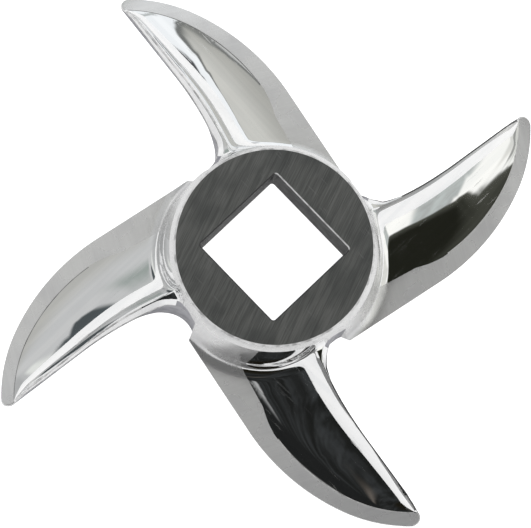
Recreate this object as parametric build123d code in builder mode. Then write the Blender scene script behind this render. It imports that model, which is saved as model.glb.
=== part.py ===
"""Meat grinder knife: one cast stainless steel cross knife, size 32 family.

Millimetres. The cutting face lies on z = 0 and the ground hub face looks up
(+Z). The origin is on the hub axis in the cutting plane. The sides of the
square drive hole run along X and Y. Blade 1 points along +X with its convex
cutting edge on the -Y side; the other three follow at quarter turns.
"""
import os
from math import atan2, cos, radians, sin, sqrt, tan

from build123d import *

# ---- hub ---------------------------------------------------------------
height = 13.5           # cutting plane to ground hub face
hub_face_dia = 31.6     # ground face
hub_chamfer = 0.3       # thin edge chamfer round the face
hub_wall_dia = 33.6     # cast wall under the shoulder
shoulder_drop = 1.4     # shoulder falls this far from the face to the wall
flank_draft = 7.2      # degrees, the cast wall leans out towards its foot
skirt_r = 2.0           # concave fillet from that wall to the lands
drive_square = 17.0     # across flats of the drive hole
drive_depth = 8.2       # depth of the square land below the hub face
drive_corner = 0.5      # corner radius of the square hole
drive_edge = 0.2        # small break round the square mouth
relief_margin = 1.0     # the round relief under the square clears its corners by this
relief_edge = 0.4       # break round the relief mouth

# ---- blade plan, one blade ----------------------------------------------
blade_count = 4
edge_offset = 18.2      # axis to the straight root part of the cutting edge
edge_lean = 10.5        # lean of that line, degrees
edge_start = 0.5        # the edge starts here, measured along X
edge_straight = 17.6    # length of the straight part
edge_r1 = 36.4          # first arc of the cutting edge
edge_turn1 = 32.0       # degrees
edge_r2 = 25.4          # second arc
edge_turn2 = 26.0       # degrees
nose_r = 1.25           # rounded tip
nose_turn = 126.0       # degrees
back_straight = 14.0    # straight part of the trailing edge from the tip
back_r = 47.6           # slow arc of the trailing edge
back_turn = 15.8        # degrees
gap_r = 4.9             # arc that runs into the hub between two blades
gap_turn = 89.0         # degrees

# ---- blade section --------------------------------------------------------
edge_height = 0.45      # thickness left at the cutting edge
land_w_root = 3.3       # land along the cutting edge, wide at the hub
land_w_tip = 2.1        # and narrow at the tip
land_h_root = 0.9       # height of the land line at the hub
land_h_tip = 2.3        # and at the tip
rim_h_root = 9.6        # height of the trailing rim at the hub
rim_h_tip = 4.4         # and at the tip
rim_width = 0.35        # flat left on top of the trailing rim
least_scoop = 0.5       # the scoop never gets narrower than this
steepest = 1.1          # ratio, nor steeper than this, so it dies out at the tip
hollow = 0.14           # ratio, sag of the scoop over its chord
under_line = 12.8       # the under-side relief starts this far off the blade axis
under_angle = 38.0      # degrees, and rises at this angle
under_keep = 20.0       # radius round the axis that stays flat

clear = 1.0             # over-travel of cutting tools


def step(point, heading, length):
    """Point reached from point along heading (degrees)."""
    return (point[0] + length * cos(radians(heading)), point[1] + length * sin(radians(heading)))


def turned(point, heading, radius, turn):
    """End of an arc that leaves point along heading and turns by turn degrees."""
    side = 1 if turn > 0 else -1
    centre = step(point, heading + 90 * side, radius)
    return step(centre, heading - 90 * side + turn, radius)


# corners of the blade outline, walked from the hub along the cutting edge,
# round the tip and back along the trailing edge
h0 = -edge_lean
h1 = h0 + edge_turn1
h2 = h1 + edge_turn2
h3 = h2 + nose_turn
h4 = h3 - back_turn
h5 = h4 - gap_turn
p_start = (edge_start, -edge_offset / cos(radians(edge_lean)) - edge_start * tan(radians(edge_lean)))
p_line = step(p_start, h0, edge_straight)
p_arc1 = turned(p_line, h0, edge_r1, edge_turn1)
p_arc2 = turned(p_arc1, h1, edge_r2, edge_turn2)
p_nose = turned(p_arc2, h2, nose_r, nose_turn)
p_back = step(p_nose, h3, back_straight)
p_slow = turned(p_back, h3, back_r, -back_turn)
p_gap = turned(p_slow, h4, gap_r, -gap_turn)
p_next = (-p_start[1], p_start[0])
c_arc1 = step(p_line, h0 + 90, edge_r1)
c_arc2 = step(p_arc1, h1 + 90, edge_r2)
c_slow = step(p_back, h3 - 90, back_r)
relief_dia = 2 * ((drive_square / 2 - drive_corner) * sqrt(2) + drive_corner + relief_margin)
face_r = hub_face_dia / 2
wall_r = hub_wall_dia / 2
reach = p_arc2[0] + nose_r


def edge_at(x):
    """Y of the cutting edge and its slope angle (radians) at x."""
    if x < p_line[0]:
        return p_start[1] + (x - p_start[0]) * tan(radians(h0)), radians(h0)
    centre, radius = (c_arc1, edge_r1) if x < p_arc1[0] else (c_arc2, edge_r2)
    lean = (x - centre[0]) / radius
    return centre[1] - radius * sqrt(1 - lean**2), atan2(lean, sqrt(1 - lean**2))


def back_at(x):
    """Y of the trailing edge at x; past its ends it runs on along the tangent."""
    if x > p_back[0]:
        return p_nose[1] + (x - p_nose[0]) * tan(radians(h3))
    if x > p_slow[0]:
        return c_slow[1] - sqrt(back_r**2 - (x - c_slow[0]) ** 2)
    return p_slow[1] + (x - p_slow[0]) * tan(radians(h4))


def section(x):
    """Closed blade section at x: flat face, land, hollow scoop, rim."""
    along = (x - wall_r) / (reach - wall_r)
    edge_y, slope = edge_at(x)
    land_w = land_w_tip + (land_w_root - land_w_tip) * (1 - along) ** 2
    land_y = edge_y + land_w / cos(slope)
    land_h = land_h_root + (land_h_tip - land_h_root) * max(along, 0) ** 3
    rim_y = max(back_at(x) - rim_width, land_y + least_scoop)
    rim_h = rim_h_root + (rim_h_tip - rim_h_root) * along
    rim_h = min(rim_h, land_h + steepest * (rim_y - land_y))
    chord = sqrt((rim_y - land_y) ** 2 + (rim_h - land_h) ** 2)
    sag = hollow * chord
    mid = (
        (land_y + rim_y) / 2 + sag * (rim_h - land_h) / chord,
        (land_h + rim_h) / 2 - sag * (rim_y - land_y) / chord,
    )
    out_y = edge_y - 2 * clear
    out_h = edge_height
    in_y = rim_y + rim_width + 3 * clear
    with BuildSketch(Plane.YZ.offset(x)) as face:
        with BuildLine():
            Line((in_y, 0), (out_y, 0))
            Line((out_y, 0), (out_y, out_h))
            Line((out_y, out_h), (land_y, land_h))
            ThreePointArc((land_y, land_h), mid, (rim_y, rim_h))
            Line((rim_y, rim_h), (in_y, rim_h))
            Line((in_y, rim_h), (in_y, 0))
        make_face()
    return face.sketch


# plan of one blade with its quarter of the hub
with BuildSketch() as quarter:
    with BuildLine():
        Line((0, 0), p_start)
        Line(p_start, p_line)
        RadiusArc(p_line, p_arc1, -edge_r1)
        RadiusArc(p_arc1, p_arc2, -edge_r2)
        RadiusArc(p_arc2, p_nose, -nose_r)
        Line(p_nose, p_back)
        RadiusArc(p_back, p_slow, back_r)
        RadiusArc(p_slow, p_gap, gap_r)
        Line(p_gap, p_next)
        Line(p_next, (0, 0))
    make_face()

# one blade: the plan raised to the hub height and cut down to its sections
first_x = 0.0
last_x = reach + clear / 2
stations = 9            # closer together towards the tip
with BuildPart() as blade:
    loft([section(last_x - (last_x - first_x) * (1 - k / (stations - 1)) ** 1.5) for k in range(stations)])
    with BuildSketch() as trim:
        add(quarter.sketch)
    extrude(amount=height, mode=Mode.INTERSECT)
    # relief under the trailing side, so only a strip behind the edge cuts
    with BuildSketch(Plane.YZ.offset(under_keep)) as wedge:
        with BuildLine():
            Line((-under_line, 0), (-under_line, -clear))
            Line((-under_line, -clear), (0, -clear))
            Line((0, -clear), (0, under_line * tan(radians(under_angle))))
            Line((0, under_line * tan(radians(under_angle))), (-under_line, 0))
        make_face()
    extrude(amount=reach, mode=Mode.SUBTRACT)

with BuildPart() as knife:
    # hub: ground face, chamfer, shoulder, leaning wall and fillet turned about the axis
    wall_top = height - shoulder_drop
    foot_r = wall_r + (wall_top - land_h_root) * tan(radians(flank_draft))
    tangent = skirt_r * tan(radians((90 - flank_draft) / 2))
    skirt_top = step((foot_r, land_h_root), 90 + flank_draft, tangent)
    with BuildSketch(Plane.XZ):
        with BuildLine():
            Line((0, 0), (foot_r + tangent, 0))
            Line((foot_r + tangent, 0), (foot_r + tangent, land_h_root))
            RadiusArc((foot_r + tangent, land_h_root), skirt_top, skirt_r)
            Line(skirt_top, (wall_r, wall_top))
            Line((wall_r, wall_top), (face_r + hub_chamfer, height - hub_chamfer))
            Line((face_r + hub_chamfer, height - hub_chamfer), (face_r, height))
            Line((face_r, height), (0, height))
            Line((0, height), (0, 0))
        make_face()
    revolve(axis=Axis.Z)
    # trimmed to the plan of the whole knife, then joined by the blades
    with BuildSketch() as plan:
        with PolarLocations(0, blade_count):
            add(quarter.sketch)
    extrude(amount=height, mode=Mode.INTERSECT)
    with PolarLocations(0, blade_count):
        add(blade.part)
    # square drive hole from the face, round relief from the cutting side
    with BuildSketch():
        RectangleRounded(drive_square, drive_square, drive_corner)
    extrude(amount=height, mode=Mode.SUBTRACT)
    with BuildSketch():
        Circle(relief_dia / 2)
    extrude(amount=height - drive_depth, mode=Mode.SUBTRACT)
    mouth = (
        knife.edges()
        .filter_by_position(Axis.Z, height - 0.001, height + 0.001)
        .filter_by(lambda e: (e @ 0.5).X ** 2 + (e @ 0.5).Y ** 2 < (face_r - clear) ** 2)
    )
    chamfer(mouth, drive_edge)
    relief_mouth = (
        knife.edges()
        .filter_by(GeomType.CIRCLE)
        .filter_by_position(Axis.Z, -0.001, 0.001)
        .filter_by(lambda e: abs(e.radius - relief_dia / 2) < 0.01)
    )
    chamfer(relief_mouth, relief_edge)

knife.part.label = "knife"
os.makedirs("parts", exist_ok=True)
export_step(knife.part, "parts/knife.step")
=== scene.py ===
# %% [markdown]
# # Meat grinder knife
# One cast cross knife: a ground hub with a square drive hole and four sickle blades. The packed solid is
# loaded first. A finer skin of nearly the same shape then stands for it, because a mirror polish shows
# each flat facet of a coarse mesh. Points are worked out in millimetres and stored in metres.

# %% Load the frame
import math

import bmesh
import bpy
import numpy as np
from mathutils import Matrix, Vector
from mathutils.geometry import delaunay_2d_cdt


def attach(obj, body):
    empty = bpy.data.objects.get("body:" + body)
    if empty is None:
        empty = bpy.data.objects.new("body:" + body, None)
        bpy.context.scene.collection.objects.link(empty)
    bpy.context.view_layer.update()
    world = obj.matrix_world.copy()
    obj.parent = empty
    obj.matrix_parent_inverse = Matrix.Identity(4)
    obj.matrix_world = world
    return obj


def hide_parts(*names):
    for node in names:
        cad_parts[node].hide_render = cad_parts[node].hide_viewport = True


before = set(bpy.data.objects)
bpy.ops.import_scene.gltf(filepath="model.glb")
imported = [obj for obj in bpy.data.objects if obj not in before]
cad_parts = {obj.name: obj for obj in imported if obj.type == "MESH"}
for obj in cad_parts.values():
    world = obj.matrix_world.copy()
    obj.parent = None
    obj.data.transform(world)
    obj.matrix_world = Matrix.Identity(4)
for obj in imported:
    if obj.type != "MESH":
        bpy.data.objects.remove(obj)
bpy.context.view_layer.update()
MM = 0.001

# %% [markdown]
# ## Sizes
# The knife is cast, then ground and polished, so its shape follows a handful of sizes: hub circles, the
# walk round one blade, and the blade's section. Most are the solid's own. The skin differs from it in
# that the rim and the wall below it lean in a little, and that the hub's wall starts 0.05 mm further in.
# Names in capitals are sizes that somebody may want to change.

# %% Sizes of the knife, in millimetres and degrees
HUB_TOP = 13.5
FACE_R = 15.8
CHAMFER = 0.3
WALL_R = 16.75
SHOULDER_Z = 12.15
HALF_SQUARE = 8.5
SQUARE_CORNER = 0.5
MOUTH_BREAK = 0.2
LAND_DEPTH = 8.2
RELIEF_R = 12.8
RELIEF_BREAK = 0.4

EDGE_OFFSET, EDGE_LEAN, EDGE_START, EDGE_STRAIGHT = 18.2, 10.5, 0.5, 17.6
EDGE_R1, EDGE_TURN1, EDGE_R2, EDGE_TURN2 = 36.4, 32.0, 25.4, 26.0
NOSE_R, NOSE_TURN = 1.25, 126.0
BACK_STRAIGHT, BACK_R, BACK_TURN = 14.0, 47.6, 15.8
GAP_R, GAP_TURN = 4.9, 89.0

EDGE_HEIGHT = 0.45
LAND_W_ROOT, LAND_W_TIP, LAND_H_ROOT, LAND_H_TIP = 3.3, 2.1, 0.9, 2.3
RIM_H_ROOT, RIM_H_TIP, RIM_WIDTH = 9.6, 4.4, 0.35
LEAST_SCOOP, STEEPEST, HOLLOW, RIM_ROUND = 0.5, 1.1, 0.14, 0.2
UNDER_LINE, UNDER_ANGLE = 12.8, 38.0
# how far the rim stands in from the trailing edge, by x
RIM_IN = ([15.6, 19.2, 22.2, 25.4, 29.2, 33.0], [0.9, 0.6, 0.42, 0.25, 0.06, 0.0])
# by length left to the end of the gap: how far the wall leans in, and where its polish stops
LEAN_IN = (
    [1.5, 2.6, 3.8, 5.3, 7.6, 10.1, 13.4, 17.4, 21.0, 34.7, 37.4],
    [0, 0.25, 0.7, 0.8, 0.66, 0.5, 0.33, 0.14, 0.1, 0.1, 0],
)
POLISH_STOP = ([3.6, 5.3, 6.9, 8.75, 11.2, 13.6], [12.3, 9.1, 6.4, 5.1, 4.1, 3.45])
LEDGE = 0.1
# the hub's wall: rise over run, how much steeper it gets at the gaps, and the fillet at its foot
FLANK_STEEP, FLANK_STEEPER, SKIRT_R = 7.9, 1.3, 2.0
# how deep the gap between two blades bites into the hub's shoulder
GAP_BITE = 0.2
print("hub", 2 * FACE_R, "mm across,", HUB_TOP, "mm high, drive hole", 2 * HALF_SQUARE, "mm square")


# %% [markdown]
# ## The walk round one blade
# The outline is walked like a turtle: straight, then arcs, each given by a radius and a turn. Walking
# keeps every joint tangent, so reflections run on without a kink.

# %% Turtle steps
def ahead(point, heading, length):
    """The point that lies length ahead along heading."""
    a = math.radians(heading)
    return (point[0] + length * math.cos(a), point[1] + length * math.sin(a))


def line_points(start, end, spacing):
    """Points after start, up to and with end."""
    n = max(1, round(math.dist(start, end) / spacing))
    return [
        (start[0] + (end[0] - start[0]) * k / n, start[1] + (end[1] - start[1]) * k / n)
        for k in range(1, n + 1)
    ]


def arc_points(start, heading, radius, turn, spacing):
    """Points along an arc that leaves start along heading, without start; its end heading; its centre."""
    side = 1 if turn > 0 else -1
    centre = ahead(start, heading + 90 * side, radius)
    n = max(2, round(math.radians(abs(turn)) * radius / spacing))
    points = [ahead(centre, heading - 90 * side + turn * k / n, radius) for k in range(1, n + 1)]
    return points, heading + turn, centre


def quarter_turn(points, turns=1):
    """Points turned about the hub axis by quarter turns."""
    points = np.asarray(points, float)
    for _ in range(turns % 4):
        points = np.stack([-points[..., 1], points[..., 0]], -1)
    return points


print("an arc of radius 5 that turns 90 degrees ends at", arc_points((0, 0), 0, 5, 90, 1)[0][-1])

# %% Outline of one blade, from the notch round the tip to the next gap
lean = math.radians(EDGE_LEAN)
p_start = (EDGE_START, -EDGE_OFFSET / math.cos(lean) - EDGE_START * math.tan(lean))
p_line = ahead(p_start, -EDGE_LEAN, EDGE_STRAIGHT)
edge = line_points(p_start, p_line, 0.4)
arc1, h1, c_arc1 = arc_points(p_line, -EDGE_LEAN, EDGE_R1, EDGE_TURN1, 0.4)
arc2, h2, c_arc2 = arc_points(arc1[-1], h1, EDGE_R2, EDGE_TURN2, 0.35)
nose, h3, _ = arc_points(arc2[-1], h2, NOSE_R, NOSE_TURN, 0.14)
p_nose = nose[-1]
p_back = ahead(p_nose, h3, BACK_STRAIGHT)
back = line_points(p_nose, p_back, 0.35)
slow, h4, c_slow = arc_points(p_back, h3, BACK_R, -BACK_TURN, 0.35)
p_slow = slow[-1]
gap, _, _ = arc_points(p_slow, h4, GAP_R, -GAP_TURN, 0.18)
p_gap = gap[-1]
q_gap = tuple(quarter_turn([p_gap], 3)[0])
notch = line_points(q_gap, p_start, 0.2)
outline = np.array([q_gap] + notch + edge + arc1 + arc2 + nose + back + slow + gap)
n_lead = 1 + len(notch) + len(edge) + len(arc1) + len(arc2)
REACH = arc2[-1][0] + NOSE_R
farthest = np.hypot(*outline.T).max()
print("outline:", len(outline), "points, farthest", round(farthest, 2), "mm from the hub axis")

# %% [markdown]
# ## Crest of the wall
# The wall under the trailing edge leans in towards its top, most of all near the hub. Its top edge, the
# crest, is the outline moved in by an amount that follows the length left to the end of the gap. A short
# bell-shaped average takes the corners out of that amount.

# %% Crest: the outline moved in
def moved_in(line, inset):
    """A line of points moved to its left, which is the inside of the outline."""
    line = np.asarray(line, float)
    way = np.gradient(line, axis=0)
    way /= np.hypot(way[:, 0], way[:, 1])[:, None]
    return line + np.stack([-way[:, 1], way[:, 0]], -1) * np.reshape(inset, (-1, 1))


steps = np.hypot(*np.diff(outline, axis=0).T)
left = np.append(np.cumsum(steps[::-1])[::-1], 0.0)
bell = np.exp(-np.linspace(-2, 2, 17) ** 2)
lean_in = np.interp(left, *LEAN_IN) * (np.arange(len(outline)) >= n_lead)
lean_in[n_lead:] = np.convolve(np.pad(lean_in[n_lead:], 8, "edge"), bell / bell.sum(), "valid")
lean_in[left < 1.2] = 0
crest = moved_in(outline, lean_in)
print("the crest leans in by up to", round(float(lean_in.max()), 2), "mm")


# %% [markdown]
# ## Height of the upper side
# Seen from above, every point of the knife has one height, so the upper side is a height rule: a land
# along the cutting edge, a hollow scoop that rises to the trailing rim, and a flank that climbs the hub.

# %% Blade section
def edge_at(x):
    """Y of the cutting edge at x, and its slope."""
    x = np.asarray(x, float)
    y = p_start[1] - (x - p_start[0]) * math.tan(lean)
    slope = np.full_like(x, -lean)
    for centre, radius, first in ((c_arc1, EDGE_R1, p_line[0]), (c_arc2, EDGE_R2, arc1[-1][0])):
        tilt = np.clip((x - centre[0]) / radius, -0.999, 0.999)
        y = np.where(x >= first, centre[1] - radius * np.sqrt(1 - tilt**2), y)
        slope = np.where(x >= first, np.arcsin(tilt), slope)
    return y, slope


def back_at(x):
    """Y of the trailing edge at x, run on straight past both ends."""
    x = np.asarray(x, float)
    y = p_nose[1] + (x - p_nose[0]) * math.tan(math.radians(h3))
    bend = np.clip((x - c_slow[0]) / BACK_R, -0.999, 0.999)
    y = np.where(x <= p_back[0], c_slow[1] - BACK_R * np.sqrt(1 - bend**2), y)
    return np.where(x <= p_slow[0], p_slow[1] + (x - p_slow[0]) * math.tan(math.radians(h4)), y)


def section(x):
    """Land line and rim line at x: their y and height."""
    along = (x - WALL_R) / (REACH - WALL_R)
    up = np.clip(along, 0, None)
    edge_y, slope = edge_at(x)
    width = (LAND_W_TIP + (LAND_W_ROOT - LAND_W_TIP) * (1 - along) ** 2) / np.cos(slope)
    land_y = edge_y + width
    land_h = LAND_H_ROOT + (LAND_H_TIP - LAND_H_ROOT) * up**3
    rim_y = np.maximum(back_at(x) - RIM_WIDTH - np.interp(x, *RIM_IN), land_y + LEAST_SCOOP)
    rim_h = np.minimum(RIM_H_ROOT + (RIM_H_TIP - RIM_H_ROOT) * along, land_h + STEEPEST * (rim_y - land_y))
    return edge_y, land_y, land_h, rim_y, rim_h


def blade_height(x, y):
    """Height of land, scoop and rim at points of the plan."""
    edge_y, land_y, land_h, rim_y, rim_h = section(x)
    t = (y - (edge_y - 2)) / (land_y - (edge_y - 2))
    z = EDGE_HEIGHT + (land_h - EDGE_HEIGHT) * np.clip(t, 0, 1)
    # the scoop is an arc through the land line, a sagging middle and the rim line
    run, rise = rim_y - land_y, rim_h - land_h
    chord = np.hypot(run, rise)
    sag = HOLLOW * chord
    radius = chord**2 / (8 * sag) + sag / 2
    mid_y, mid_h = (land_y + rim_y) / 2, (land_h + rim_h) / 2
    c_y = mid_y - rise / chord * (radius - sag)
    c_h = mid_h + run / chord * (radius - sag)
    inside = np.clip(radius**2 - (np.clip(y, land_y, rim_y) - c_y) ** 2, 0, None)
    scoop = c_h - np.sqrt(inside)
    return np.where(y > land_y, scoop, z)


_, land_y, land_h, rim_y, rim_h = (round(float(v), 2) for v in section(30.0))
print("section at x = 30: land", land_h, "mm high at y", land_y, "and rim", rim_h, "mm high at y", rim_y)

# %% [markdown]
# ## Where the hub rises
# The hub's wall is a steep line with a fillet at its foot. Its height is added to the blade's own, as a
# function of the distance from the wall's top circle, so the two run into each other without a seam.

# %% Hub flank
def flank(d, drop, steep, radius):
    """Height of the flank above its foot at distance d from the wall's top: a drafted line, then a fillet."""
    half = np.arctan(steep) / 2
    tangent = np.minimum(radius * np.tan(half), 0.8 * drop / np.sin(2 * half))
    radius = tangent / np.tan(half)
    end = drop / steep + tangent
    start = drop / steep - tangent * np.cos(2 * half)
    arc = radius - np.sqrt(np.clip(radius**2 - np.clip(end - d, 0, radius) ** 2, 0, None))
    return np.where(d < start, drop - steep * d, np.where(d < end, arc, 0.0))


def smooth(t):
    t = np.clip(t, 0, 1)
    return t * t * (3 - 2 * t)


def wall_radius(turn):
    """The wall's top circle; it steps in a little where the gap between two blades cuts into the hub."""
    return WALL_R - GAP_BITE * smooth((turn + 26) / 12) * (1 - smooth((turn + 4) / 3.4))


def polar(x, y):
    return np.hypot(x, y), np.degrees(np.arctan2(y, x))


def rim_round(x, y):
    """Drop of the upper side close to the trailing wall, which rounds the rim's outer corner."""
    line = crest[n_lead:]
    start, step = line[:-1], line[1:] - line[:-1]
    rel = np.stack([x, y], -1)[:, None, :] - start[None]
    t = np.clip((rel * step).sum(-1) / (step**2).sum(-1), 0, 1)
    away = np.sqrt((((rel - t[..., None] * step) ** 2).sum(-1)).min(1))
    return RIM_ROUND - np.sqrt(RIM_ROUND**2 - (RIM_ROUND - np.clip(away, 0, RIM_ROUND)) ** 2)


def top_height(x, y):
    """Height of the upper side anywhere outside the wall's top circle, in one blade's quarter."""
    r, turn = polar(x, y)
    d = np.clip(r - wall_radius(turn), 0, None)
    z = blade_height(x, y)
    # towards the next gap the foot falls from the rim to the next blade's land
    fall = smooth((turn + 15) / 12) * (r < 19)
    z = z + fall * (blade_height(0 * x, -r) - z)
    ends = np.maximum(smooth((-74 - turn) / 14), smooth((turn + 18) / 12))
    z = z + flank(d, SHOULDER_Z - z, FLANK_STEEP + FLANK_STEEPER * ends, SKIRT_R)
    return z - rim_round(x, y) * smooth(d / 0.8) * smooth((turn + 75) / 8) * smooth((-1.5 - turn) / 3)


foot = top_height(np.array([17.0, 19.0, 21.0]), np.array([-9.0, -9.0, -9.0]))
print("heights along y = -9, from the hub out:", np.round(foot, 2))

# %% [markdown]
# ## Filling the plan with points
# A plan is filled by a constrained Delaunay triangulation: feature lines are kept as edges, and rows of
# points that follow the section give the reflections an even net to run over.

# %% Fill helper
parts = {"points": [], "faces": [], "finish": []}
FINISHES = ["ground", "satin", "polish", "drive", "cast", "bright", "seam"]


def fill(loop, lines=(), loose=None):
    """Triangles over a plan: loop is its border, lines are kept as edges, loose are free points."""
    points = [tuple(p) for p in loop]
    edges = [(k, (k + 1) % len(loop)) for k in range(len(loop))]
    for line in lines:
        first = len(points)
        points += [tuple(p) for p in line]
        edges += [(first + k, first + k + 1) for k in range(len(line) - 1)]
    if loose is not None:
        points += [tuple(p) for p in loose]
    border = [list(range(len(loop)))]
    verts, _, faces, *_ = delaunay_2d_cdt([Vector(p) for p in points], edges, border, 1, 1e-5)
    return np.array([tuple(v) for v in verts]), [list(f) for f in faces]


def add(points, faces, finish):
    """Adds a patch to the quarter; finish is one name or one name a face."""
    first = sum(len(p) for p in parts["points"])
    parts["points"].append(np.asarray(points, float))
    parts["faces"] += [[first + k for k in f] for f in faces]
    names = [finish] * len(faces) if isinstance(finish, str) else finish
    parts["finish"] += [FINISHES.index(n) for n in names]


def strip(rows, finish):
    """Quads between rows of points that have the same length; the outside is on the left going along."""
    rows = [np.asarray(r, float) for r in rows]
    n = len(rows[0])
    faces = []
    for a in range(len(rows) - 1):
        faces += [[a * n + k, (a + 1) * n + k, (a + 1) * n + k + 1, a * n + k + 1] for k in range(n - 1)]
    add(np.concatenate(rows), faces, finish)


def lift(plan, z):
    return np.column_stack([plan, np.broadcast_to(z, len(plan))])


def inside(loop, points, margin):
    """Which points lie inside a loop and at least margin from it."""
    loop, points = np.asarray(loop, float), np.asarray(points, float)
    a, b = loop, np.roll(loop, -1, 0)
    x, y = points[:, :1], points[:, 1:]
    crosses = (a[:, 1] > y) != (b[:, 1] > y)
    with np.errstate(divide="ignore", invalid="ignore"):
        at = a[:, 0] + (y - a[:, 1]) * (b[:, 0] - a[:, 0]) / (b[:, 1] - a[:, 1])
    odd = (crosses & (x < at)).sum(1) % 2 == 1
    step = b - a
    rel = points[:, None, :] - a[None]
    t = np.clip((rel * step).sum(-1) / (step**2).sum(-1), 0, 1)
    away = np.sqrt(((rel - t[..., None] * step) ** 2).sum(-1)).min(1)
    return odd & (away > margin)


print("zones of finish:", FINISHES)

# %% [markdown]
# ## Upper side
# Only a quarter of the knife is drawn: one blade, from the middle of one gap to the middle of the next.
# Outside the hub its plan runs from the wall's top circle to the crest. The lines that must stay sharp
# are edges of the net: the land's border, the polish's border near the hub, the rim, and a few lines
# beside the trailing edge, where the height changes fast.

# %% Plan of the upper side outside the hub
first_turn = math.degrees(math.atan2(q_gap[1], q_gap[0]))
last_turn = math.degrees(math.atan2(p_gap[1], p_gap[0]))
turns = np.linspace(first_turn, last_turn, 181)
spokes = np.stack([np.cos(np.radians(turns)), np.sin(np.radians(turns))], -1)
wall_circle = spokes * wall_radius(turns)[:, None]
seam_out = np.array([spokes[-1] * (WALL_R + d) for d in (0.06, 0.14, 0.24)])
loop = np.concatenate([crest, seam_out[::-1], wall_circle[::-1], quarter_turn(seam_out, 3)])


def away_from_wall(points):
    r, turn = polar(points[:, 0], points[:, 1])
    return r - wall_radius(turn)


print("the quarter runs from", round(first_turn, 1), "to", round(last_turn, 1), "degrees")

# %% Lines kept as edges
land_x = np.concatenate([np.arange(6.2, 44.0, 0.3), np.arange(44.0, 46.2, 0.15)])
land_line = np.stack([land_x, section(land_x)[1]], -1)
rim_x = np.array([p[0] for p in back + slow][::-1])
rim_x = np.concatenate([np.arange(17.6, rim_x[0] - 0.2, 0.3), rim_x, np.arange(p_nose[0] + 0.2, 46.7, 0.2)])
rim_line = np.stack([rim_x, section(rim_x)[3]], -1)
seam_line = (land_line + [0, 0.15])[land_x > 21.9]


def turned_in(x):
    """How far the polish stays back from the land line near the hub."""
    return 0.026 * np.clip(22 - x, 0, 5.4) ** 2


border_x = np.arange(9.1, 20.9, 0.2)
border_line = np.stack([border_x, section(border_x)[1] + turned_in(border_x)], -1)
lines = [
    land_line[inside(loop, land_line, 0.12)],
    seam_line[inside(loop, seam_line, 0.2)],
    border_line[away_from_wall(border_line) > 0.1],
    rim_line[inside(loop, rim_line, 0.23) & (away_from_wall(rim_line) > 0.5)],
]
trail = crest[n_lead:]
for inset in (0.03, 0.08, 0.14, 0.2):
    beside = moved_in(trail, inset)[1:]
    lines.append(beside[(away_from_wall(beside) > 0.4) & (left[n_lead + 1 :] > 3.2)])
far = (left > 3.2) & (np.arange(len(outline)) >= n_lead)
print("kept lines:", [len(line) for line in lines], "points")

# %% Loose points: rings round the hub's foot, and rows across the blade further out
RING_STEPS = (
    0.06, 0.14, 0.24, 0.36, 0.5, 0.68, 0.9, 1.1, 1.3, 1.55, 1.8,
    2.1, 2.4, 2.7, 3.0, 3.4, 3.8, 4.3, 4.8, 5.4, 6.0,
)
ROWS_FROM = 6.3
loose = []
for d in RING_STEPS:
    loose.append(spokes[1:-1] * (wall_radius(turns[1:-1]) + d)[:, None])
for x in np.concatenate([np.arange(4.0, 44.0, 0.4), np.arange(44.0, 48.0, 0.2)]):
    edge_y, land_y, _, rim_y, _ = (float(v) for v in section(x))
    across = np.concatenate([
        np.linspace(edge_y, land_y, 9)[1:-1],
        land_y + (rim_y - land_y) * np.linspace(0, 1, 42)[1:-1] ** 0.93,
    ])
    row = np.stack([np.full_like(across, x), across], -1)
    loose.append(row[np.hypot(row[:, 0], row[:, 1]) > WALL_R + ROWS_FROM])
loose = np.concatenate(loose)
loose = loose[inside(loop, loose, 0.025)]
near = np.abs(loose[:, None, :] - crest[far][None]).max(-1).min(1) < 0.5
gap_to_crest = np.hypot(*(loose[:, None, :] - crest[far][None]).transpose(2, 0, 1)).min(1)
loose = loose[~(near & (gap_to_crest < 0.34))]
print("loose points:", len(loose))

# %% Upper side: fill, lift and give finishes
# the polish ends at this turn about the hub, and keeps off the wall's top just before it ends
CORNER_TURN, CORNER_D, CORNER_SPREAD = -63.0, 0.6, 14.0
plan, faces = fill(loop, lines, loose)
z = np.where(away_from_wall(plan) < 1e-3, SHOULDER_Z, top_height(plan[:, 0], plan[:, 1]))
middle = np.array([plan[f].mean(0) for f in faces])
mid_r, mid_turn = polar(middle[:, 0], middle[:, 1])
_, mid_land, _, mid_rim, _ = section(middle[:, 0])
border_d = CORNER_D * np.clip(1 - (mid_turn - CORNER_TURN) / CORNER_SPREAD, 0, 1) ** 1.4
polished = (middle[:, 1] > mid_land + turned_in(middle[:, 0])) & (mid_turn > CORNER_TURN)
polished &= ((mid_turn < -15) | (mid_r > 20)) & (mid_r - wall_radius(mid_turn) > border_d)
# the thin strip beside the land line gets the scoop_border colour: painted shade, with patches of painted
# highlight where x + y < 0
seam = (np.abs(middle[:, 1] - mid_land - 0.075) < 0.075) & (middle[:, 0] > 22) & (middle[:, 0] < 45.8)
to_crest = np.concatenate([
    np.hypot(*(part[:, None, :] - crest[far][None]).transpose(2, 0, 1)).min(1)
    for part in np.array_split(middle, 8)
])
# the rim's top gets the bright_edge colour: a painted highlight where x + y > 0, painted shade elsewhere
on_rim = (to_crest < 0.33) & (middle[:, 1] > mid_rim - 0.02) & (middle[:, 0] > 21.5)
zones = np.where(on_rim, "bright", np.where(seam, "seam", np.where(polished, "polish", "satin")))
add(lift(plan, z), faces, [str(zone) for zone in zones])
print("upper side:", len(plan), "points,", len(faces), "triangles, highest", round(z.max(), 2))

# %% [markdown]
# ## Hub
# The hub's face is ground flat and has a thin chamfer round it. The square hole goes in from the face,
# with a small break at its mouth. Each is a strip between two rows of points, and the face is filled.

# %% Hub face, chamfer and shoulder
strip([lift(wall_circle, SHOULDER_Z), lift(spokes * (FACE_R + CHAMFER), HUB_TOP - CHAMFER)][::-1], "satin")
# the chamfer gets the bright_edge colour: a painted highlight all round the face
strip([lift(spokes * FACE_R, HUB_TOP), lift(spokes * (FACE_R + CHAMFER), HUB_TOP - CHAMFER)], "bright")


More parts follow.
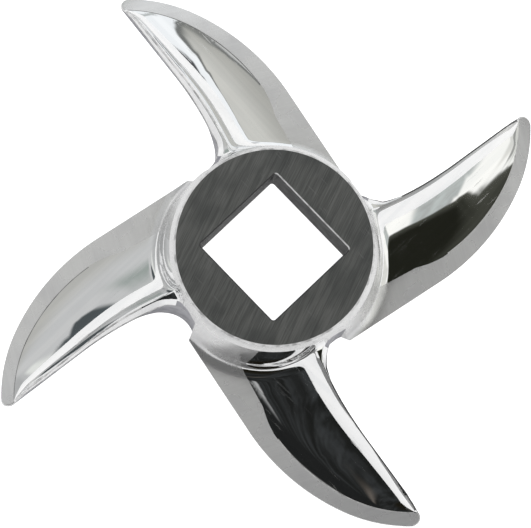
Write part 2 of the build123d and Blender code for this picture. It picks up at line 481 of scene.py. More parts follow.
def square_path(half, corner):
    """One corner of the square hole, from the +X side to the -Y side, cut off at the seams."""
    slope = p_gap[1] / p_gap[0]
    side = [(half, y) for y in np.linspace(half * slope, -half + corner, 9)[:-1]]
    inner = half - corner
    bend = [
        (inner + corner * math.cos(a), -inner - corner * math.sin(a)) for a in np.linspace(0, math.pi / 2, 9)
    ]
    foot = [(x, -half) for x in np.linspace(half - corner, half * slope, 9)[1:]]
    return np.array(side + bend + foot)


mouth = square_path(HALF_SQUARE + MOUTH_BREAK, SQUARE_CORNER + MOUTH_BREAK)
hole = square_path(HALF_SQUARE, SQUARE_CORNER)
plan, faces = fill(np.concatenate([spokes * FACE_R, mouth]))
# the face gets the ground_face colour, whose dark is painted shade
add(lift(plan, HUB_TOP), faces, "ground")
# the mouth's break gets the bright_edge colour: a painted highlight on its -Y side, painted shade on the
# other sides
strip([lift(mouth, HUB_TOP), lift(hole, HUB_TOP - MOUTH_BREAK)][::-1], "bright")
step_z = HUB_TOP - LAND_DEPTH
# the hole's walls get the drive_wall colour, whose near black is painted shade
strip([lift(hole, z) for z in np.linspace(HUB_TOP - MOUTH_BREAK, step_z, 5)][::-1], "drive")
print("hub face:", len(faces), "triangles; the square goes down to z =", round(step_z, 2))

# %% [markdown]
# ## Under side
# The cutting face is flat, with a round relief inside the hub and a sloped relief under the trailing
# half of each blade, so that only a strip behind each edge runs on the hole plate.

# %% Under side
def under_height(x, y):
    slope = (y + UNDER_LINE) * math.tan(math.radians(UNDER_ANGLE))
    return np.clip(slope, 0, None) * smooth((x - 17.5) / 5.5)


relief_in, relief_out = spokes * RELIEF_R, spokes * (RELIEF_R + RELIEF_BREAK)
under_loop = np.concatenate([outline, relief_out[::-1]])
under_points = np.array([(x, y) for x in np.arange(4, 48, 0.8) for y in np.arange(-22.4, 0, 0.8)])
under_points = under_points[inside(under_loop, under_points, 0.3)]
plan, faces = fill(under_loop, [], under_points)
add(lift(plan, under_height(plan[:, 0], plan[:, 1])), [f[::-1] for f in faces], "satin")
strip([lift(relief_out, 0), lift(relief_in, RELIEF_BREAK), lift(relief_in, step_z)], "satin")
plan, faces = fill(np.concatenate([relief_in, hole]))
add(lift(plan, step_z), [f[::-1] for f in faces], "satin")
print("under side: relief", 2 * RELIEF_R, "mm across,", round(step_z, 2), "mm deep")

# %% [markdown]
# ## Side walls
# The wall under the trailing edge is raw cast metal below and polished above, with a small ledge between
# the two; the ledge's bright line is a painted highlight where x + y > 0 and painted shade elsewhere. Along
# the cutting edge the wall is low and ground all the way.

# %% Side walls
top_z = top_height(crest[:, 0], crest[:, 1])
foot_z = under_height(outline[:, 0], outline[:, 1])
on_back = np.arange(len(outline)) >= n_lead
stop_z = np.where(on_back, np.interp(left, *POLISH_STOP), HUB_TOP)
stop_z = np.clip(stop_z, foot_z + 0.1 * (top_z - foot_z), top_z - 0.1 * (top_z - foot_z))
ledge = np.minimum(LEDGE, 0.6 * lean_in) * smooth((left - 2.2) / 1.5)
inner = moved_in(outline, ledge)
n_wall = len(outline) - 1
rows = [lift(outline, foot_z + (stop_z - foot_z) * t) for t in np.linspace(0, 1, 5)]
below = ["cast" if k >= n_lead - 6 else "satin" for k in range(n_wall)]
strip(rows[::-1], below * (len(rows) - 1))
# the ledge gets the bright_edge colour: a painted highlight where x + y > 0 or near the hub, painted shade
# elsewhere
strip([lift(outline, stop_z), lift(inner, stop_z + 0.3 * ledge)][::-1], "bright")
ledge_z = stop_z + 0.3 * ledge
rows = [lift(inner + (crest - inner) * t, ledge_z + (top_z - ledge_z) * t) for t in np.linspace(0, 1, 8)]
above = ["satin" if k < n_lead else "polish" if left[k] > 4.4 else "cast" for k in range(n_wall)]
strip(rows[::-1], above * (len(rows) - 1))
print("walls from", round(float(foot_z.max()), 2), "to", round(float(top_z.max()), 2))

# %% [markdown]
# ## Quarter mesh
# All patches of the quarter go into one mesh. Each face keeps the number of its finish, so that the
# materials can be given after the quarter has been repeated.

# %% Quarter mesh
verts = np.concatenate(parts["points"]) * MM
quarter = bpy.data.meshes.new("knife_quarter")
quarter.from_pydata([tuple(v) for v in verts], [], parts["faces"])
finish = quarter.attributes.new("finish", "INT", "FACE")
finish.data.foreach_set("value", parts["finish"])
quarter.update()
print("quarter:", len(verts), "points,", len(parts["faces"]), "faces")

# %% [markdown]
# ## Finishes
# One steel has seven finishes here: a ground hub face with straight wheel lines, satin lands, polished
# scoops, drive walls, cast walls, edges and the thin border of a scoop. The dark of the hub face and of
# the drive walls is painted shade, the pale edges are a painted highlight with painted shade on some
# sides, and the scoop border is painted shade with patches of painted highlight. Image textures would
# need a layout of the surface, while noise on Object coordinates needs none. A class of short words keeps
# the wiring of number nodes readable.

# %% Words for wiring nodes
class Graph:
    """A few words for wiring number nodes in one node tree."""

    def __init__(self, tree):
        self.nodes, self.link = tree.nodes, tree.links.new

    def math(self, kind, a, b=0.0, c=0.0):
        node = self.nodes.new("ShaderNodeMath")
        node.operation = kind
        for socket, value in zip(node.inputs, (a, b, c)):
            if isinstance(value, (int, float)):
                socket.default_value = value
            else:
                self.link(value, socket)
        return node.outputs[0]

    def plus(self, a, b):
        return self.math("ADD", a, b)

    def minus(self, a, b):
        return self.math("SUBTRACT", a, b)

    def times(self, a, b):
        return self.math("MULTIPLY", a, b)

    def dot(self, vector, axis):
        node = self.nodes.new("ShaderNodeVectorMath")
        node.operation = "DOT_PRODUCT"
        self.link(vector, node.inputs[0])
        node.inputs[1].default_value = axis
        return node.outputs["Value"]

    def ramp_up(self, value, low, high):
        """0 below low, 1 above high, smooth between; low may be above high."""
        node = self.nodes.new("ShaderNodeMapRange")
        node.interpolation_type = "SMOOTHSTEP"
        self.link(value, node.inputs["Value"])
        flip = low > high
        node.inputs["From Min"].default_value, node.inputs["From Max"].default_value = sorted((low, high))
        node.inputs["To Min"].default_value, node.inputs["To Max"].default_value = (1, 0) if flip else (0, 1)
        return node.outputs["Result"]

    def bend(self, value, table):
        """A value bent through a table of (value, result) pairs."""
        xs, ys = [row[0] for row in table], [row[1] for row in table]
        low, high = min(ys), max(ys)
        node = self.nodes.new("ShaderNodeFloatCurve")
        curve = node.mapping.curves[0]
        for k, (x, y) in enumerate(table):
            spot = ((x - xs[0]) / (xs[-1] - xs[0]), (y - low) / (high - low))
            if 0 < k < len(table) - 1:
                curve.points.new(*spot)
            else:
                curve.points[0 if k == 0 else -1].location = spot
        for point in curve.points:
            point.handle_type = "VECTOR"
        node.mapping.update()
        share = self.math("DIVIDE", self.minus(value, xs[0]), xs[-1] - xs[0])
        self.link(share, node.inputs["Value"])
        return self.math("MULTIPLY_ADD", node.outputs[0], high - low, low)

    def noise(self, vector, scale, detail=2.0):
        node = self.nodes.new("ShaderNodeTexNoise")
        self.link(vector, node.inputs["Vector"])
        node.inputs["Scale"].default_value = scale
        node.inputs["Detail"].default_value = detail
        return node.outputs["Fac"]

    def stretched(self, vector, turn, along, across):
        """The vector turned about Z by turn degrees, then scaled: lines run along its new X."""
        node = self.nodes.new("ShaderNodeMapping")
        self.link(vector, node.inputs["Vector"])
        node.inputs["Rotation"].default_value = (0, 0, math.radians(turn))
        node.inputs["Scale"].default_value = (along, across, along)
        return node.outputs[0]

    def group(self, tree, **values):
        node = self.nodes.new("ShaderNodeGroup")
        node.node_tree = tree
        for name, value in values.items():
            socket = node.inputs[name.replace("_", " ")]
            if isinstance(value, (int, float, tuple)):
                socket.default_value = value
            else:
                self.link(value, socket)
        return node.outputs

    def band(self, value, low, high, soft):
        """1 between low and high, with soft ends."""
        rise = self.ramp_up(value, low - soft, low + soft)
        return self.times(rise, self.ramp_up(value, high + soft, high - soft))

    def joined(self, x, y):
        node = self.nodes.new("ShaderNodeCombineXYZ")
        self.link(x, node.inputs[0])
        self.link(y, node.inputs[1])
        return node.outputs[0]

    def both(self, *values):
        total = values[0]
        for value in values[1:]:
            total = self.times(total, value)
        return total

    def over(self, under, colour, mask):
        """Colour laid over under by mask."""
        node = self.nodes.new("ShaderNodeMix")
        node.data_type = "RGBA"
        if isinstance(mask, (int, float)):
            node.inputs[0].default_value = mask
        else:
            self.link(mask, node.inputs[0])
        for socket, value in ((node.inputs[6], under), (node.inputs[7], colour)):
            if isinstance(value, tuple):
                socket.default_value = (*value, 1)
            else:
                self.link(value, socket)
        return node.outputs[2]


print("words for wiring:", [word for word in vars(Graph) if not word.startswith("_")])

# %% [markdown]
# ## Shared marks
# Marks that several finishes share are node groups: the place on a blade, grinding wheel lines and fine
# scratches. A group gives out only values and a normal. The shader stays in each material.

# %% Shared marks: where on a blade, wheel lines, fine scratches
def new_group(name, inputs, outputs):
    tree = bpy.data.node_groups.new(name, "ShaderNodeTree")
    for kind, sockets in (("INPUT", inputs), ("OUTPUT", outputs)):
        for socket, value_type in sockets:
            tree.interface.new_socket(socket, in_out=kind, socket_type="NodeSocket" + value_type)
    return tree, tree.nodes.new("NodeGroupInput"), tree.nodes.new("NodeGroupOutput"), Graph(tree)


def blade_place():
    """Object position turned back into the first blade's quarter, so that marks follow each blade."""
    tree, start, end, g = new_group("blade_place", [("Position", "Vector")], [("Place", "Vector")])
    split = g.nodes.new("ShaderNodeSeparateXYZ")
    g.link(start.outputs[0], split.inputs[0])
    angle = g.math("ARCTAN2", split.outputs[1], split.outputs[0])
    number = g.math("FLOOR", g.math("DIVIDE", angle, math.pi / 2))
    turn = g.nodes.new("ShaderNodeVectorRotate")
    turn.rotation_type = "Z_AXIS"
    g.link(start.outputs[0], turn.inputs["Vector"])
    g.link(g.times(g.plus(number, 1.0), -math.pi / 2), turn.inputs["Angle"])
    g.link(turn.outputs[0], end.inputs[0])
    return tree


def wheel_lines():
    """Straight grinding lines of uneven strength: shade from 0 to 1, and a normal."""
    inputs = [("Place", "Vector"), ("Turn", "Float"), ("Fineness", "Float"), ("Depth", "Float")]
    tree, start, end, g = new_group("wheel_lines", inputs, [("Shade", "Float"), ("Normal", "Vector")])
    turn = g.nodes.new("ShaderNodeVectorRotate")
    turn.rotation_type = "Z_AXIS"
    g.link(start.outputs["Place"], turn.inputs["Vector"])
    g.link(g.math("RADIANS", start.outputs["Turn"]), turn.inputs["Angle"])
    size = g.nodes.new("ShaderNodeVectorMath")
    size.operation = "SCALE"
    g.link(turn.outputs[0], size.inputs[0])
    g.link(start.outputs["Fineness"], size.inputs["Scale"])
    fine = g.noise(g.stretched(size.outputs[0], 0, 0.045, 1.6), 2.2, 3)
    broad = g.noise(g.stretched(size.outputs[0], 3, 0.04, 0.42), 1.0, 2)
    shade = g.plus(g.times(fine, 0.6), g.times(broad, 0.4))
    bump = g.nodes.new("ShaderNodeBump")
    bump.inputs["Distance"].default_value = 0.00002
    g.link(start.outputs["Depth"], bump.inputs["Strength"])
    g.link(shade, bump.inputs["Height"])
    g.link(g.ramp_up(shade, 0.32, 0.68), end.inputs[0])
    g.link(bump.outputs[0], end.inputs[1])
    return tree


def hairlines():
    """Sparse fine scratches that wander: 1 on a scratch, 0 off it."""
    inputs = [("Place", "Vector"), ("Fineness", "Float"), ("Share", "Float")]
    tree, start, end, g = new_group("hairlines", inputs, [("Mask", "Float")])
    size = g.nodes.new("ShaderNodeVectorMath")
    size.operation = "SCALE"
    g.link(start.outputs["Place"], size.inputs[0])
    g.link(start.outputs["Fineness"], size.inputs["Scale"])
    marks = []
    for turn in (14, 61, -37):
        lines = g.noise(g.stretched(size.outputs[0], turn, 0.11, 2.6), 1.0, 1)
        patch = g.noise(size.outputs[0], 0.3 + 0.004 * turn, 1)
        least = g.minus(0.74, g.times(start.outputs["Share"], 0.12))
        line = g.math("GREATER_THAN", lines, least)
        marks.append(g.both(line, g.ramp_up(patch, 0.5, 0.62)))
    g.link(g.math("MAXIMUM", g.math("MAXIMUM", marks[0], marks[1]), marks[2]), end.inputs[0])
    return tree


place_tree, wheel_tree, hair_tree = blade_place(), wheel_lines(), hairlines()
print("node groups:", [tree.name for tree in (place_tree, wheel_tree, hair_tree)])


# %% A new finish, and helpers for its colours
def finish_of(name, metallic=1.0):
    material = bpy.data.materials.new(name)
    material.use_nodes = True
    g = Graph(material.node_tree)
    shader = g.nodes["Principled BSDF"]
    shader.inputs["Metallic"].default_value = metallic
    position = g.nodes.new("ShaderNodeTexCoord").outputs["Object"]
    spot = g.group(place_tree, Position=position)
    return material, g, shader, position, spot["Place"]


def hub_near(g, position, full, none):
    """1 within full millimetres of the hub axis, 0 beyond none."""
    x, y, _ = apart(g, position)
    square = g.plus(g.math("POWER", x, 2), g.math("POWER", y, 2))
    return g.ramp_up(g.math("SQRT", square), none * MM, full * MM)


def greys(g, dark, light, mask):
    return g.over((dark, dark, dark), (light, light, light), mask)


def apart(g, position):
    """X, Y and Z of a position."""
    split = g.nodes.new("ShaderNodeSeparateXYZ")
    g.link(position, split.inputs[0])
    return split.outputs


# %% [markdown]
# ## Ground, satin and polished
# The hub face and the lands show wheel lines: stretched noise that sets colour, roughness and a small
# bump. The scoops have no bump at all, because even a faint one would break up their reflections. Their
# polishing streaks only change colour and roughness.

# %% Ground hub face, satin lands, polished scoops
def ground_face():
    material, g, shader, position, _ = finish_of("ground_face")
    wheel = g.group(wheel_tree, Place=position, Turn=70.0, Fineness=2600.0, Depth=0.5)
    cloud = g.noise(position, 160, 2)
    # painted shade: the dark base colour stands for the dark that the flat face reflects, and the steel
    # itself is paler; wheel lines, clouds and scratches vary it
    colour = g.over((0.132, 0.137, 0.134), (0.232, 0.235, 0.231), wheel["Shade"])
    colour = g.over(colour, (0.088, 0.094, 0.095), g.times(g.ramp_up(cloud, 0.4, 0.7), 0.45))
    scratch = g.group(hair_tree, Place=position, Fineness=900.0, Share=0.1)
    colour = g.over(colour, (0.30, 0.30, 0.30), g.times(scratch["Mask"], 0.3))
    g.link(colour, shader.inputs["Base Color"])
    g.link(g.math("MULTIPLY_ADD", wheel["Shade"], -0.08, 0.42), shader.inputs["Roughness"])
    g.link(wheel["Normal"], shader.inputs["Normal"])
    return material


def satin_land():
    material, g, shader, position, place = finish_of("satin_land")
    wheel = g.group(wheel_tree, Place=place, Turn=-62.0, Fineness=1500.0, Depth=0.06)
    cloud = g.noise(place, 190, 3)
    colour = g.over((0.70, 0.70, 0.70), (0.76, 0.76, 0.76), wheel["Shade"])
    colour = g.over(colour, (0.60, 0.60, 0.615), g.times(g.ramp_up(cloud, 0.45, 0.75), 0.4))
    scratch = g.group(hair_tree, Place=place, Fineness=800.0, Share=0.05)
    colour = g.over(colour, (0.88, 0.88, 0.88), g.times(scratch["Mask"], 0.15))
    g.link(colour, shader.inputs["Base Color"])
    g.link(g.math("MULTIPLY_ADD", cloud, 0.14, 0.2), shader.inputs["Roughness"])
    g.link(g.math("MULTIPLY_ADD", hub_near(g, position, 19.4, 21.5), 0.2, 0.58), shader.inputs["Metallic"])
    g.link(wheel["Normal"], shader.inputs["Normal"])
    return material


def polished_scoop():
    material, g, shader, _, place = finish_of("polished_scoop")
    streaks = g.noise(g.stretched(place, 7, 24, 900), 1.0, 3)
    cloud = g.noise(place, 120, 2)
    scratch = g.group(hair_tree, Place=place, Fineness=1000.0, Share=0.35)
    colour = g.over((0.82, 0.825, 0.83), (0.88, 0.88, 0.88), g.ramp_up(streaks, 0.35, 0.65))
    colour = g.over(colour, (0.76, 0.76, 0.76), g.times(g.ramp_up(cloud, 0.5, 0.8), 0.4))
    g.link(colour, shader.inputs["Base Color"])
    rough = g.math("MULTIPLY_ADD", g.ramp_up(streaks, 0.55, 0.75), 0.03, 0.035)
    rough = g.math("MULTIPLY_ADD", scratch["Mask"], 0.12, rough)
    g.link(rough, shader.inputs["Roughness"])
    return material


print("made ground_face, satin_land and polished_scoop")

# %% [markdown]
# ## Walls and edges
# The drive hole's walls are near black, which is painted shade in the hole; the cast walls are rough and
# grainy. The edges are nearly unmetallic, so that they keep an even tone instead of showing the room; that
# tone is a painted highlight, with painted shade on some sides. The scoop border is painted shade with
# patches of painted highlight.

# %% Drive walls, cast walls, bright edges, scoop borders
def drive_wall():
    material, g, shader, position, place = finish_of("drive_wall")
    lines = g.noise(g.stretched(place, 0, 900, 900), 1.0, 2)
    cloud = g.noise(position, 420, 3)
    # painted shade: the near-black base colour stands for the shade inside the square hole; clouds vary it
    g.link(greys(g, 0.018, 0.07, g.ramp_up(cloud, 0.35, 0.7)), shader.inputs["Base Color"])
    g.link(g.math("MULTIPLY_ADD", lines, 0.2, 0.36), shader.inputs["Roughness"])
    return material


def cast_wall():
    material, g, shader, position, _ = finish_of("cast_wall", 0.6)
    grain = g.noise(position, 2200, 3)
    cloud = g.noise(position, 260, 2)
    colour = g.over((0.27, 0.27, 0.30), (0.42, 0.42, 0.45), g.ramp_up(cloud, 0.35, 0.65))
    g.link(colour, shader.inputs["Base Color"])
    g.link(g.math("MULTIPLY_ADD", grain, 0.3, 0.36), shader.inputs["Roughness"])
    skin = g.nodes.new("ShaderNodeBump")
    skin.inputs["Strength"].default_value = 0.4
    skin.inputs["Distance"].default_value = 0.00003
    g.link(grain, skin.inputs["Height"])
    g.link(skin.outputs[0], shader.inputs["Normal"])
    return material


def bright_edge():
    material, g, shader, position, _ = finish_of("bright_edge", 0.15)
    patchy = g.noise(position, 700, 3)
    # painted highlight: the pale grey stands for the glint of a rounded edge, broken into uneven patches
    patchy_glint = greys(g, 0.40, 0.78, g.ramp_up(patchy, 0.3, 0.6))
    x, y, _ = apart(g, position)
    # painted light round the square hole: a painted highlight on the mouth's -Y side, painted shade on the
    # other sides
    mouth_lit_side = g.ramp_up(y, -8.2 * MM, -8.5 * MM)
    mouth_shade = g.both(hub_near(g, position, 12.6, 12.8), g.minus(1.0, mouth_lit_side))
    # painted light on the rims: a painted highlight where x + y > 0, painted shade elsewhere
    other_side = g.ramp_up(g.plus(x, y), 2 * MM, -2 * MM)
    shaded = g.both(other_side, g.minus(1.0, hub_near(g, position, 18.0, 19.0)))
    g.link(g.over(patchy_glint, (0.05, 0.05, 0.05), g.math("MAXIMUM", mouth_shade, shaded)), shader.inputs["Base Color"])
    shader.inputs["Roughness"].default_value = 0.45
    return material


def scoop_border():
    """The thin line where a scoop meets its land: painted shade where x + y > 0, patches of painted highlight
    elsewhere.
    """
    material, g, shader, position, _ = finish_of("scoop_border", 0.3)
    patchy = g.noise(position, 500, 3)
    x, y, _ = apart(g, position)
    other_side = g.ramp_up(g.plus(x, y), 2 * MM, -2 * MM)
    # painted shade: the dark line on every blade; painted highlight: the pale patches where x + y < 0
    dark = greys(g, 0.16, 0.30, g.ramp_up(patchy, 0.35, 0.65))
    pale_share = g.times(other_side, g.ramp_up(patchy, 0.2, 0.5))
    g.link(g.over(dark, (0.62, 0.62, 0.61), pale_share), shader.inputs["Base Color"])
    shader.inputs["Roughness"].default_value = 0.3
    return material


finishes = [
    ground_face(), satin_land(), polished_scoop(), drive_wall(), cast_wall(), bright_edge(), scoop_border(),
]
print("finishes:", [m.name for m in finishes])

# %% [markdown]
# ## Four blades by Geometry Nodes
# A cross knife is one quarter, turned three more times about the hub axis. The tree sets the quarter on
# four stacked points, turns each by its number, welds the seams and gives each zone its finish.

# %% Repeat tree
def repeat_tree(materials):
    tree = bpy.data.node_groups.new("repeat_round_axis", "GeometryNodeTree")
    face = tree.interface
    face.new_socket("Quarter", in_out="INPUT", socket_type="NodeSocketGeometry")
    count = face.new_socket("Blades", in_out="INPUT", socket_type="NodeSocketInt")
    weld = face.new_socket("Weld distance", in_out="INPUT", socket_type="NodeSocketFloat")
    face.new_socket("Knife", in_out="OUTPUT", socket_type="NodeSocketGeometry")
    nodes, link = tree.nodes, tree.links.new
    start = nodes.new("NodeGroupInput")
    points = nodes.new("GeometryNodeMeshLine")
    points.inputs["Offset"].default_value = (0, 0, 0)
    link(start.outputs["Blades"], points.inputs["Count"])
    number = nodes.new("GeometryNodeInputIndex")
    share = nodes.new("ShaderNodeMath")
    share.operation = "DIVIDE"
    link(number.outputs[0], share.inputs[0])
    link(start.outputs["Blades"], share.inputs[1])
    angle = nodes.new("ShaderNodeMath")
    angle.operation = "MULTIPLY"
    angle.inputs[1].default_value = 2 * math.pi
    link(share.outputs[0], angle.inputs[0])
    about_z = nodes.new("ShaderNodeCombineXYZ")
    link(angle.outputs[0], about_z.inputs["Z"])
    turn = nodes.new("FunctionNodeEulerToRotation")
    link(about_z.outputs[0], turn.inputs[0])
    place = nodes.new("GeometryNodeInstanceOnPoints")
    link(points.outputs["Mesh"], place.inputs["Points"])
    link(start.outputs["Quarter"], place.inputs["Instance"])
    link(turn.outputs[0], place.inputs["Rotation"])
    real = nodes.new("GeometryNodeRealizeInstances")
    link(place.outputs[0], real.inputs[0])
    merge = nodes.new("GeometryNodeMergeByDistance")
    link(real.outputs[0], merge.inputs["Geometry"])
    link(start.outputs["Weld distance"], merge.inputs["Distance"])
    last = merge.outputs[0]
    zone = nodes.new("GeometryNodeInputNamedAttribute")
    zone.data_type = "INT"
    zone.inputs["Name"].default_value = "finish"
    for number, material in enumerate(materials):
        same = nodes.new("FunctionNodeCompare")
        same.data_type, same.operation = "INT", "EQUAL"
        link(zone.outputs["Attribute"], same.inputs[2])
        same.inputs[3].default_value = number
        give = nodes.new("GeometryNodeSetMaterial")
        give.inputs["Material"].default_value = material
        link(last, give.inputs["Geometry"])
        link(same.outputs[0], give.inputs["Selection"])
        last = give.outputs[0]
    end = nodes.new("NodeGroupOutput")
    link(last, end.inputs[0])
    return tree, count.identifier, weld.identifier


BLADES, WELD = 4, 0.002 * MM
tree, count_id, weld_id = repeat_tree(finishes)
source = bpy.data.objects.new("quarter_source", quarter)
bpy.context.scene.collection.objects.link(source)
repeat = source.modifiers.new("repeat", "NODES")
repeat.node_group = tree
repeat[count_id] = BLADES
repeat[weld_id] = WELD
whole = bpy.data.meshes.new_from_object(source.evaluated_get(bpy.context.evaluated_depsgraph_get()))
source.modifiers.remove(repeat)
bpy.data.objects.remove(source)
print(BLADES, "quarters:", len(whole.polygons), "faces")

# %% [markdown]
# ## Closing the skin
# Doubled points are merged and the faces turned outwards. Every edge must then have two faces: the count
# of those that don't is printed, and has to be 0. Faces that meet at more than 22 degrees stay sharp.

# %% Close and smooth the skin
SHARP_ANGLE = 22
shape = bmesh.new()
shape.from_mesh(whole)
bmesh.ops.remove_doubles(shape, verts=shape.verts, dist=WELD)
bmesh.ops.recalc_face_normals(shape, faces=shape.faces)
open_edges = [e for e in shape.edges if len(e.link_faces) != 2]
print("open or doubled edges:", len(open_edges))
shape.to_mesh(whole)
volume = shape.calc_volume() / MM**3
shape.free()
for polygon in whole.polygons:
    polygon.use_smooth = True
whole.set_sharp_from_angle(angle=math.radians(SHARP_ANGLE))
knife = bpy.data.objects.new("knife_skin", whole)
bpy.context.scene.collection.objects.link(knife)
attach(knife, "root")
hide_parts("knife")
triangles = sum(len(p.vertices) - 2 for p in whole.polygons)
print("skin:", len(whole.vertices), "points,", triangles, "triangles, volume", round(volume), "mm3")

# %% [markdown]
# ## Floor
# The knife lies on pale paper. The Light Path node lets the paper glow only where the camera, a
# reflection or a view through glass meets it, so the white background adds no diffuse light to the
# knife. The camera gets more of the glow, which keeps the paper white where the knife shades it.

# %% Floor
FLOOR_HALF, FLOOR_Z = 1.5, -0.0002
GLOW_SEEN, GLOW_CAMERA = 0.3, 0.6
floor_mesh = bpy.data.meshes.new("floor")
corners = [(x * FLOOR_HALF, y * FLOOR_HALF, 0) for x, y in ((-1, -1), (1, -1), (1, 1), (-1, 1))]
floor_mesh.from_pydata(corners, [], [(0, 1, 2, 3)])
floor = bpy.data.objects.new("floor", floor_mesh)
floor.location.z = FLOOR_Z
bpy.context.scene.collection.objects.link(floor)
paper = bpy.data.materials.new("paper")
paper.use_nodes = True
g = Graph(paper.node_tree)
shader = g.nodes["Principled BSDF"]
shader.inputs["Base Color"].default_value = (0.9, 0.9, 0.9, 1)
shader.inputs["Emission Color"].default_value = (1, 1, 1, 1)
ray = g.nodes.new("ShaderNodeLightPath").outputs
mirrored = g.math("MAXIMUM", ray["Is Glossy Ray"], ray["Is Transmission Ray"])
seen_paper = g.math("MAXIMUM", ray["Is Camera Ray"], mirrored)
glow = g.plus(g.times(seen_paper, GLOW_SEEN), g.times(ray["Is Camera Ray"], GLOW_CAMERA))
g.link(glow, shader.inputs["Emission Strength"])
floor_mesh.materials.append(paper)
print("floor:", 2 * FLOOR_HALF, "m wide, at z =", FLOOR_Z, "m")

# %% [markdown]
# ## Camera
# A long lens, half a metre off, looks down on the knife 10.5 degrees from the hub's axis. The three axes
# are those of the camera: to its right, up, and back towards it.

# %% Camera
AXIS_RIGHT = (-0.694025, -0.716436, 0.071062)
AXIS_UP = (0.716364, -0.677353, 0.167379)
AXIS_BACK = (-0.071782, 0.167072, 0.983328)
camera = bpy.data.objects.new("camera", bpy.data.cameras.new("camera"))
bpy.context.scene.collection.objects.link(camera)
camera.data.sensor_width = 36
camera.data.lens = 229.743
axes = Matrix((AXIS_RIGHT, AXIS_UP, AXIS_BACK)).transposed().to_4x4()
camera.matrix_world = Matrix.Translation((-0.0396987, 0.0930847, 0.5436935)) @ axes
camera.data.clip_start = 0.01
camera.data.clip_end = 10
bpy.context.scene.camera = camera
print("camera leans", round(math.degrees(math.acos(AXIS_BACK[2])), 1), "degrees from the hub's axis")

# %% [markdown]
# ## Studio
# A mirror has no colour of its own: it shows the room. This room is pale to the north, nearly black to
# the south west, and dark and then white to the south east, as on a map whose up is the camera's up. It
# is fixed in space and written in two angles about the camera's axis: lean_from is how far a direction
# leans from that axis, and way is which way it leans. Panels round the table could do the same, but a
# band of two angles is moved by changing one number.

# %% Directions and colours of the room
def seen(r, g, b, shine=0.86):
    """Light that a polished surface shows as the given display colour, 0 to 255."""
    light = (v / 255 / 12.92 if v < 10 else ((v / 255 + 0.055) / 1.055) ** 2.4 for v in (r, g, b))
    return tuple(v / shine for v in light)


world = bpy.data.worlds.new("studio")
bpy.context.scene.world = world
world.use_nodes = True
g = Graph(world.node_tree)
direction = g.nodes.new("ShaderNodeTexCoord").outputs["Generated"]
across, upward, toward = (g.dot(direction, axis) for axis in (AXIS_RIGHT, AXIS_UP, AXIS_BACK))
lean_from = g.math("DEGREES", g.math("ARCCOSINE", toward))
way = g.math("DEGREES", g.math("ARCTAN2", upward, across))
# the same way measured from the west, so that the dark side has no seam
way_w = g.math("DEGREES", g.math("ARCTAN2", g.times(upward, -1), g.times(across, -1)))


def out(low, high):
    """1 where the lean is past high, 0 where it is short of low; turned round if low is above high."""
    return g.ramp_up(lean_from, low, high)


def lay(room, colour, *masks):
    """Colour laid over the room where all masks are 1."""
    return g.over(room, colour, g.both(*masks))


room = g.over(seen(184, 184, 182), seen(200, 201, 201), out(30, 80))
print("a display grey of 184 needs a light of", round(seen(184, 184, 184)[0], 3))

# %% [markdown]
# ### North east
# A bright wall with a fold, one grey leaf with a dark outline, and a dark panel low down.

# %% Room: north east
ne = g.band(way, 26, 82, 4)
room = lay(room, seen(243, 246, 248), ne, out(28, 40))
fold = g.bend(lean_from, [(40, 66), (60, 69), (90, 73), (125, 79)])
fold_off = g.math("ABSOLUTE", g.minus(way, fold))
room = lay(room, seen(186, 190, 190), g.ramp_up(fold_off, 4, 1), out(52, 64), out(122, 105))
leaf_side = g.bend(lean_from, [
    (25, 60.5), (45, 60), (60, 58.3), (70, 56.3), (77, 54), (85, 50.5), (89, 47.5), (92, 42), (100, 20),
])
leaf_off = g.minus(way, leaf_side)
leaf_here = out(99, 93)
room = lay(room, seen(112, 114, 112), g.ramp_up(leaf_off, 1.7, 0.9), g.ramp_up(way, 34, 38), leaf_here)
leaf = g.over(seen(170, 170, 165), seen(200, 200, 195), out(34, 75))
room = lay(room, leaf, g.ramp_up(leaf_off, 0.4, -0.5), g.ramp_up(way, 30, 37), leaf_here)
slanted = g.plus(way, g.times(lean_from, 0.11))
room = lay(room, seen(236, 240, 226), g.ramp_up(slanted, 47.5, 46), out(55, 70), ne)
dark_side = g.bend(lean_from, [
    (80, 60), (91, 54), (100, 49.5), (107, 45), (125, 39.5), (140, 36), (155, 34),
])
low_ne = g.both(g.ramp_up(g.minus(way, dark_side), -0.8, 0.8), g.ramp_up(way, 54.6, 53.4), out(152, 146))
room = g.over(room, g.over(seen(98, 101, 106), seen(80, 81, 84), g.ramp_up(way, 44, 52)), low_ne)
print("north east done,", len(g.nodes), "nodes")

# %% [markdown]
# ### North west
# Pale, with a blue-black strip low down between two bent sides.

# %% Room: north west
nw = g.band(way, 86, 178, 6)
pale = g.over(seen(178, 178, 174), seen(194, 195, 195), out(26, 50))
pale = g.over(pale, seen(172, 173, 173), g.ramp_up(way, 128, 152))
room = g.over(room, pale, nw)
room = lay(room, seen(150, 158, 154), out(55, 75), g.ramp_up(way, 117, 111), nw)
room = lay(room, seen(224, 226, 222), g.band(way, 131, 136, 1.6), out(64, 78))
left_nw = g.bend(lean_from, [(70, 126), (80, 121.5), (100, 120), (140, 118), (155, 118)])
right_nw = g.bend(lean_from, [(70, 123), (80, 127), (90, 130), (105, 132.5), (130, 133.5), (155, 133.5)])
in_left, in_right = g.minus(way, left_nw), g.minus(right_nw, way)
strip_nw = g.both(g.ramp_up(in_left, -1.5, 1.5), g.ramp_up(in_right, -0.8, 0.8), out(146, 138))
blue = g.over(seen(76, 82, 84), seen(84, 96, 104), out(85, 125))
blue = lay(blue, seen(124, 146, 166), g.ramp_up(in_right, 5, 1.5), out(98, 125))
room = g.over(room, blue, strip_nw)
print("north west done,", len(g.nodes), "nodes")

# %% [markdown]
# ### South west
# Nearly black, with faint tall streaks of noise in the two angles.

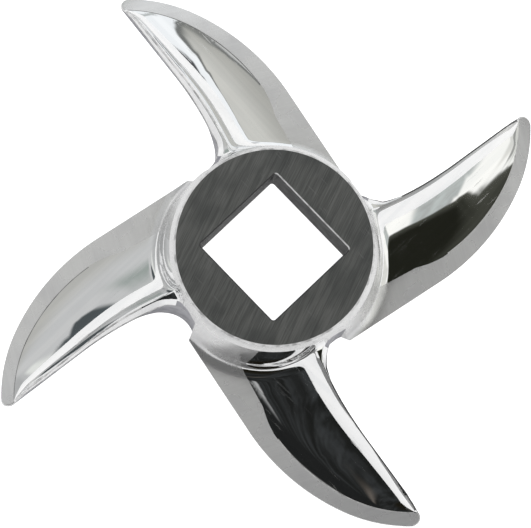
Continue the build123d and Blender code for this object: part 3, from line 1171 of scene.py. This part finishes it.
# %% Room: south west
sw = g.band(way_w, 8, 122, 5)
tall = g.noise(g.joined(g.times(way_w, 0.16), g.times(lean_from, 0.02)), 1.6, 3)
dark = g.over(seen(28, 29, 28), seen(54, 56, 57), g.ramp_up(tall, 0.36, 0.74))
dark = lay(dark, seen(26, 24, 18), g.band(way_w, 64, 86, 6), out(40, 60))
dark = lay(dark, seen(98, 92, 86), g.band(way_w, 45, 49, 3), out(46, 24))
room = g.over(room, dark, sw)
slanted_w = g.minus(way_w, g.times(lean_from, 0.12))
grey_w = g.both(g.ramp_up(slanted_w, 12, 8), g.ramp_up(way_w, -4, 2), g.band(lean_from, 44, 112, 6))
room = g.over(room, seen(128, 130, 128), grey_w)
room = lay(room, dark, g.band(way_w, -14, 16, 4), out(42, 36))
print("south west done,", len(g.nodes), "nodes")

# %% [markdown]
# ### South east
# Dark close to the axis, then white with grey panels. The dark field ends at a bent edge.

# %% Room: south east
se = g.band(way, -57, 30, 3)
room = g.over(room, seen(250, 250, 246), se)
seams = g.noise(g.joined(g.times(way, 0.2), g.times(lean_from, 0.07)), 1.5, 2)
grey_l = g.bend(lean_from, [(60, -42), (100, -46), (125, -48), (150, -48)])
grey_r = g.bend(lean_from, [(60, -26.5), (80, -28), (95, -31), (110, -36), (125, -39), (150, -39)])
grey_se = g.both(g.ramp_up(g.minus(way, grey_l), -1, 2), g.ramp_up(g.minus(grey_r, way), -0.5, 1.5))
room = g.over(room, g.over(seen(186, 192, 190), seen(170, 173, 171), g.ramp_up(seams, 0.35, 0.7)), grey_se)
fan = g.both(g.band(way, -14, -4, 2.5), out(44, 55), out(104, 88))
room = g.over(room, seen(190, 190, 184), g.times(fan, 0.6))
room = lay(room, seen(154, 155, 152), g.band(way, -4, 2.5, 1.5), out(36, 44), out(112, 100))
room = lay(room, seen(206, 207, 202), g.band(way, 3, 9, 1.5), out(30, 40), out(108, 96))
room = lay(room, seen(52, 52, 50), g.band(way, 11, 31, 1.5), out(30, 36), out(122, 112))
edge_se = g.bend(way, [
    (-60, 72), (-43, 66.5), (-30, 63), (-22, 58), (-17, 50), (-10, 42), (0, 35), (10, 30), (28, 25), (44, 24),
])
depth = g.minus(edge_se, lean_from)
near = g.over(seen(74, 75, 68), seen(30, 31, 25), g.ramp_up(depth, 0, 8))
room = lay(room, near, g.ramp_up(depth, -1.2, 1.2), g.band(way, -62, 44, 3))
# a small dark round patch about the line of sight, where a camera and its holder would be
room = g.over(room, seen(30, 31, 31), out(15, 11))
print("south east done,", len(g.nodes), "nodes")

# %% [markdown]
# ### Light of the studio
# Reflections see the room. All other rays see an even pale grey, which lights the floor and the share of
# the satin and cast metal that scatters light. Below the horizon the floor hides the room.

# %% Light of the studio
PLAIN_GREY = 0.9
background = g.nodes["Background"]
plain = g.nodes.new("ShaderNodeBackground")
plain.inputs["Color"].default_value = (PLAIN_GREY, PLAIN_GREY, PLAIN_GREY, 1)
g.link(room, background.inputs["Color"])
choose = g.nodes.new("ShaderNodeMixShader")
g.link(g.nodes.new("ShaderNodeLightPath").outputs["Is Glossy Ray"], choose.inputs[0])
g.link(plain.outputs[0], choose.inputs[1])
g.link(background.outputs[0], choose.inputs[2])
g.link(choose.outputs[0], g.nodes["World Output"].inputs["Surface"])
bpy.context.scene.view_settings.view_transform = "Standard"
print("studio:", len(g.nodes), "nodes")

# %% [markdown]
# ## End

# %% End
print("end of the script")
